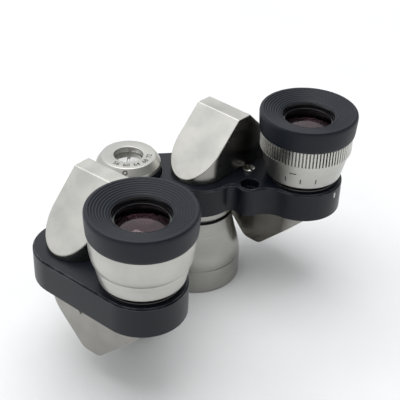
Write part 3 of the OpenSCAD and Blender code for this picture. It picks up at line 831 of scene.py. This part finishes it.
def cap_screw():
    """The polished slotted screw at the bottom of the cap's recess."""
    node = "hinge_cap_screw"
    top = heights(node)[1]
    head_z = heights("hinge_cap")[0] + 0.7
    verts, faces = slotted_head(HINGE, (head_z, top), radius_of(node), (0.5, 0.5), VIEW_AZIMUTH, 0.3)
    piece = add_piece("cap_screw_head", verts, faces, POLISHED, "left_half", "bright_screw")
    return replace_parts(piece, node)


SCREW_AT = (21.7, -20.5)
SCREW_R = 1.6
BOSS_AT = (16.9, -25.0)
PLUG_R = 1.3
PIN_AT = (36.5, -18.7)
PIN_Z = 18.15


def plate_hardware(side):
    """The slotted screw beside the top housing, the plug in the boss and the housing's pin."""
    node = f"{side}_plate_screws"
    plate_top = heights("right_body_plate")[1]
    top = heights(node)[1]
    body = HALF_BODY[side]
    screw = half_point(side, *SCREW_AT)
    verts, faces = slotted_head(screw, (plate_top - 0.1, top), SCREW_R, (0.5, 0.45),
                                math.radians(70), 0.25)
    piece = add_piece(f"{side}_plate_screw", verts, faces, POLISHED, body, "bright_screw")
    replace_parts(piece, node)
    boss = half_point(side, *BOSS_AT)
    plug_top = plate_top - 1.6
    verts, faces = slotted_head(boss, (plate_top - 2.4, plug_top), PLUG_R, (0.35, 0.4),
                                math.radians(15), 0.15)
    add_piece(f"{side}_adjuster", verts, faces, GLOSS_BLACK, body, "black_anodised")
    pin = half_point(side, *PIN_AT)
    profile = rounded([[0.01, -0.4, 0], [0.7, -0.4, 0], [0.7, 0.35, 0.2], [0.01, 0.5, 0]])
    out = (half_point(side, 1, 0) - half_point(side, 0, 0)).to_3d()
    verts, faces = turned_stud(profile, (pin.x, pin.y, PIN_Z), out)
    add_piece(f"{side}_housing_pin", verts, faces, HOUSING, body, "satin_nickel")


hinge_cap()
focus_wheel()
hinge_scale()
cap_screw()
for side in SIDES:
    plate_hardware(side)

# ---------- carried-over CAD nodes ----------

for side in SIDES:
    cad_finish(f"{side}_body_plate", ENAMEL, 0.14)
    cad_finish(f"{side}_top_prism_housing", HOUSING, 0.2)
    cad_finish(f"{side}_lower_prism_housing", HOUSING, 0.2)
    cad_finish(f"{side}_focus_arm", ENAMEL, 0.1)
    for node in ("objective_sleeve", "objective_retainer", "eyepiece_tube", "lens_cell",
                 "field_stop", "eye_lens_retainer"):
        cad_finish(f"{side}_{node}", GLOSS_BLACK, 0.06)
    for node in ("objective_lens", "field_lens"):
        cad_finish(f"{side}_{node}", LENS, 0)
    for node in ("top_prism", "lower_prism"):
        cad_finish(f"{side}_{node}", PRISM, 0)
    for node in ("top_prism_clip", "lower_prism_clip"):
        cad_finish(f"{side}_{node}", BRASS, 0.05)

cad_finish("hinge_axle", STEEL, 0.1)
cad_finish("hinge_spacer", GLOSS_BLACK, 0.08)
cad_finish("focus_carrier", BRASS, 0.08)
for node in ("focus_carrier_clip", "focus_retaining_washer", "focus_retaining_screw"):
    cad_finish(node, POLISHED, 0.06)


# ---------- camera, floor and light ----------


def add_camera():
    """The viewpoint, as an offset in millimetres from the hinge's foot and a direction."""
    data = bpy.data.cameras.new("camera")
    data.sensor_width = 36
    data.lens = 83.8
    data.clip_start, data.clip_end = 0.01, 10
    cam = bpy.data.objects.new("camera", data)
    right = Vector((0.6558, -0.7543, 0.0307)).normalized()
    back = Vector((-0.6383, -0.5323, 0.5561)).normalized()
    up = back.cross(right).normalized()
    right = up.cross(back)
    place = Vector((HINGE.x - 138.62, HINGE.y - 138.92, 152.50)) * MM
    cam.matrix_world = Matrix.Translation(place) @ Matrix((right, up, back)).transposed().to_4x4()
    bpy.context.scene.collection.objects.link(cam)
    bpy.context.scene.camera = cam


def add_floor():
    bpy.ops.mesh.primitive_plane_add(size=6)
    floor = bpy.context.object
    floor.name = "floor"
    s = Shader("floor", Roughness=0.9)
    weave = s.noise(0.6, 2)
    tone = s.blend(s.fit(s.noise(30, 3), 0.3, 0.7), (0.80, 0.807, 0.807), (0.84, 0.847, 0.847))
    floor.data.materials.append(s.finish(Base_Color=tone, Normal=s.bump(weave, 0.03)))


def add_softbox(name, direction, distance, size, power):
    """A square area lamp that looks at the object from a direction."""
    data = bpy.data.lights.new(name, "AREA")
    data.size = size
    data.energy = power
    lamp = bpy.data.objects.new(name, data)
    aim = Vector((0, 0, 0.02))
    lamp.location = aim + Vector(direction).normalized() * distance
    lamp.rotation_mode = "QUATERNION"
    lamp.rotation_quaternion = Vector(direction).to_track_quat("Z", "Y")
    bpy.context.scene.collection.objects.link(lamp)


def add_world():
    """A pale room, brightest high up behind the object and dimmest low in front."""
    world = bpy.data.worlds.new("room")
    world.use_nodes = True
    tree = world.node_tree
    where = tree.nodes.new("ShaderNodeTexCoord")
    toward = tree.nodes.new("ShaderNodeVectorMath")
    toward.operation = "DOT_PRODUCT"
    toward.inputs[1].default_value = Vector((-0.05, 0.55, 0.83)).normalized()
    ramp = tree.nodes.new("ShaderNodeMapRange")
    ramp.interpolation_type = "SMOOTHSTEP"
    for socket, value in zip(ramp.inputs[1:5], (0.0, 0.95, 0.24, 1.12)):
        socket.default_value = value
    sky = tree.nodes["Background"]
    sky.inputs["Color"].default_value = (0.97, 0.985, 1.0, 1)
    tree.links.new(where.outputs["Generated"], toward.inputs[0])
    tree.links.new(toward.outputs["Value"], ramp.inputs["Value"])
    tree.links.new(ramp.outputs[0], sky.inputs["Strength"])
    bpy.context.scene.world = world


add_camera()
add_floor()
add_world()
add_softbox("overhead", (0.0, 0.15, 1), 0.8, 0.8, 4.3)
bpy.context.scene.view_settings.view_transform = "Standard"
